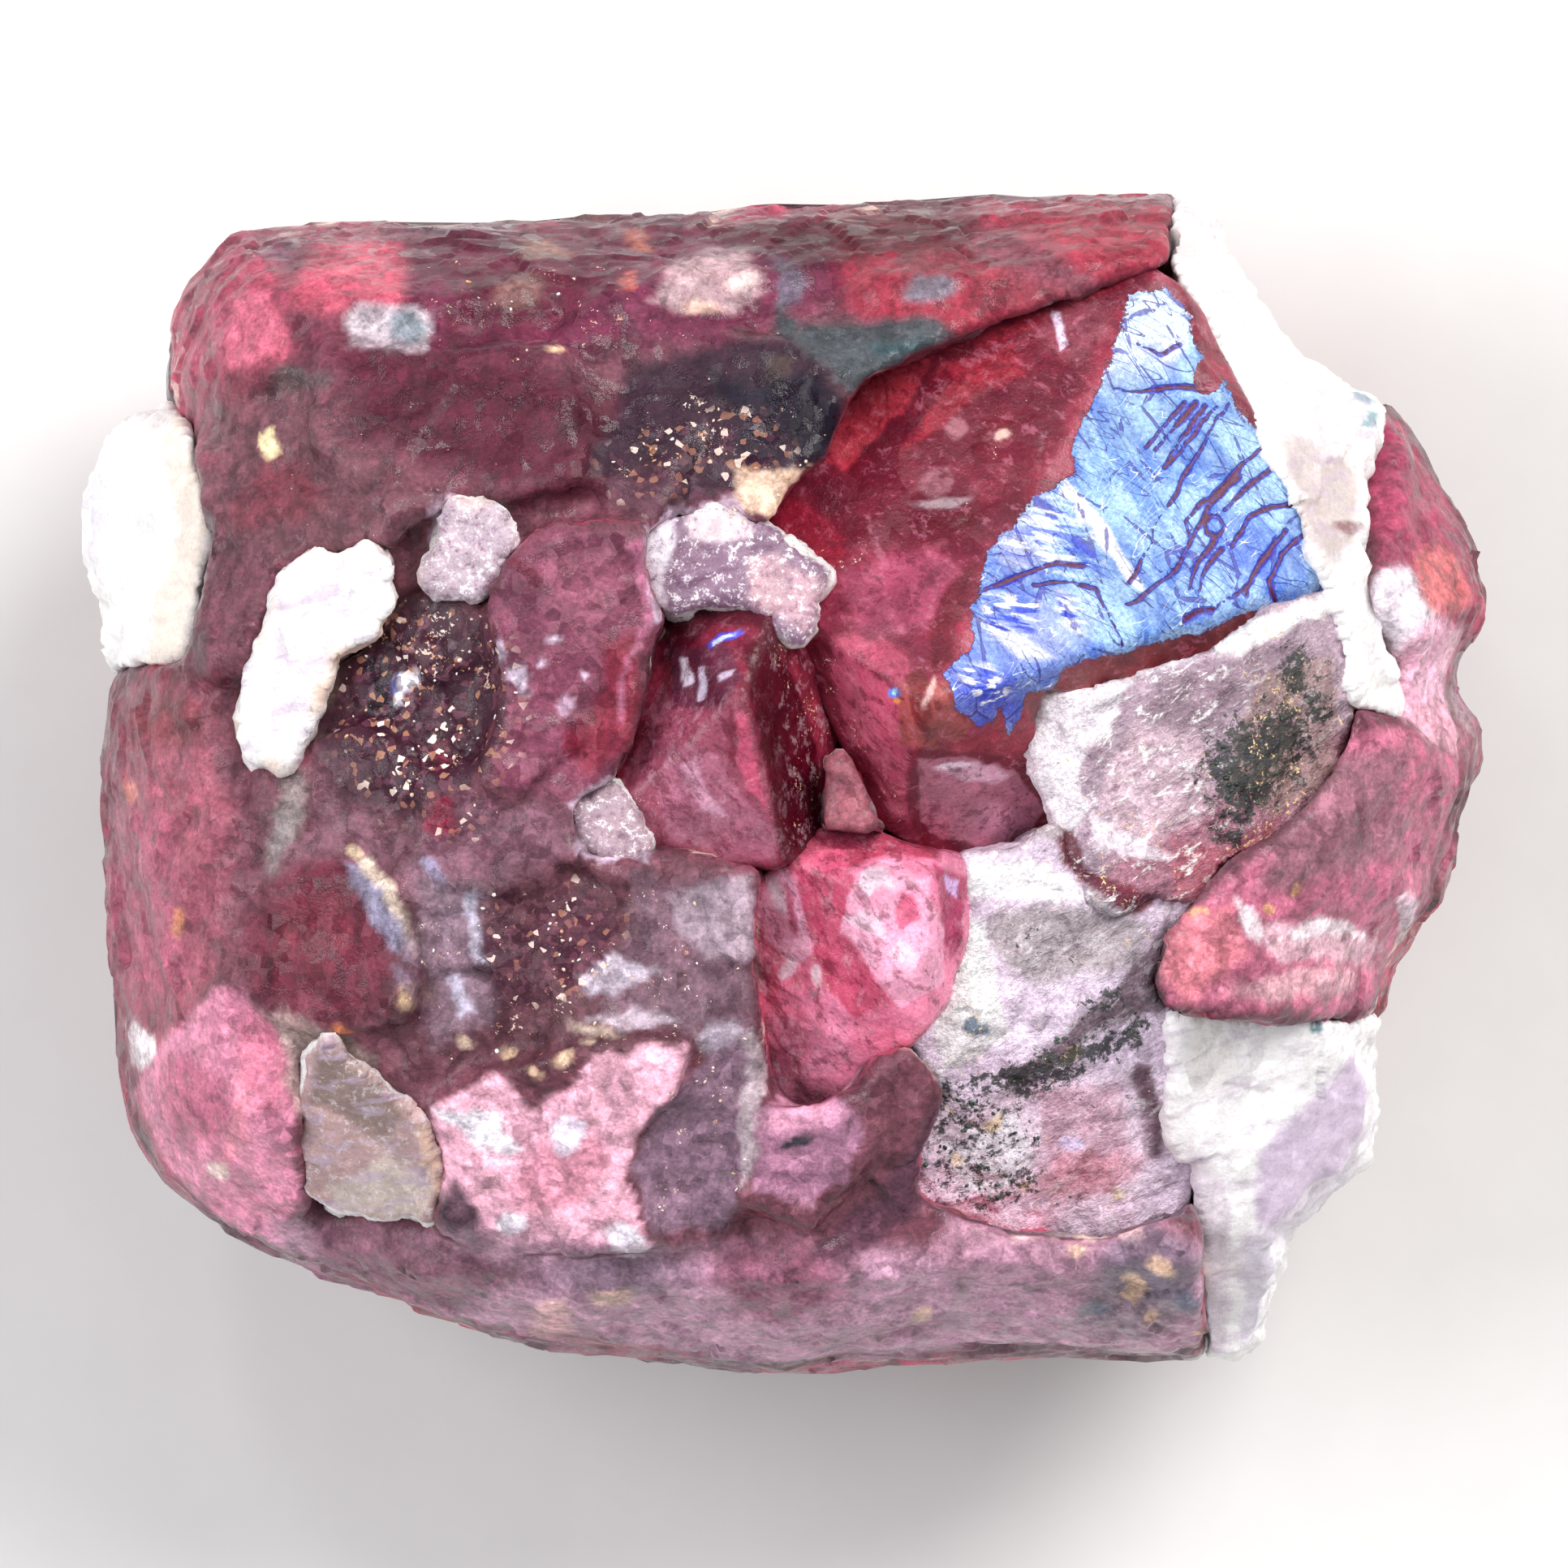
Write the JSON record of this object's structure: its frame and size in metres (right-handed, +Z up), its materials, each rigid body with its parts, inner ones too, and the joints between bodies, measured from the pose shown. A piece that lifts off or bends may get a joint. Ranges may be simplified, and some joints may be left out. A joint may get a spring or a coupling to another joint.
{
  "type": "spinel crystal specimen",
  "caption": "Rough lump of intergrown red-violet spinel with faceted crystals, one with a cracked iridescent blue face, and white calcite grains.",
  "frame": {"origin": "centre of the bounding box's bottom face, on the flat broken base", "axes": "+X along the longest side of the specimen, +Y along its width, +Z up from the base, the shortest side"},
  "size_m": [0.012, 0.01, 0.0075],
  "materials": {
    "massive_spinel": "massive red-violet spinel, vitreous on fresh breaks",
    "crystal_spinel": "wine-red spinel crystal, glassy faces",
    "marble": "grey to tan calcite marble with dark green specks",
    "calcite": "white calcite, slightly translucent"
  },
  "bodies": {
    "root": {"spinel_lump": "massive_spinel", "blue_faced_crystal": "crystal_spinel", "central_crystal": "crystal_spinel", "lower_crystal": "crystal_spinel", "veined_marble_slab": "marble", "speckled_marble": "marble", "calcite_ridge": "calcite", "calcite_left_lump": "calcite", "calcite_foot": "calcite", "grey_calcite_grain": "marble", "calcite_blade": "calcite", "calcite_chip": "calcite", "calcite_cap": "calcite", "calcite_tooth": "calcite"}
  },
  "joints": []
}
